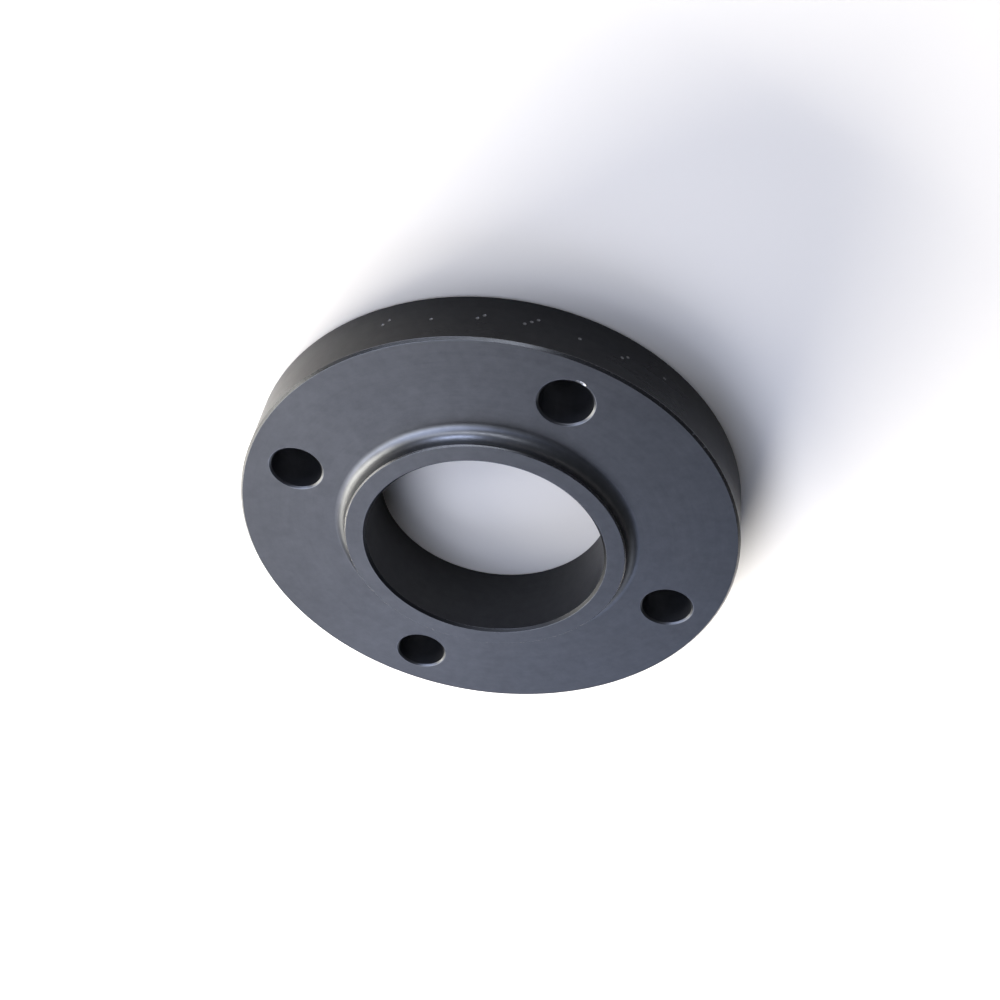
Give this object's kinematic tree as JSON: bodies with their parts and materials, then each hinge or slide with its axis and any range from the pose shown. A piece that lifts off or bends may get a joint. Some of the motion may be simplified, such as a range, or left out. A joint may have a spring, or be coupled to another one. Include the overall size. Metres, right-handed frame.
{
  "type": "slip-on pipe flange",
  "caption": "Round steel slip-on pipe flange: flat drilled plate with a low filleted hub, a straight through bore and a flat gasket face, coated black.",
  "frame": {"origin": "centre of the flat gasket face, which is also the bottom centre of the whole part", "axes": "+Z along the bore from the gasket face to the hub end; the bolt holes straddle the X and Y centre lines"},
  "size_m": [0.1906, 0.1906, 0.0308],
  "materials": {
    "black_coated_steel": "thin semi-matt black protective coat over turned carbon steel, with faint turning marks and polished edges"
  },
  "bodies": {
    "root": {"flange_forging": "black_coated_steel"}
  },
  "joints": []
}
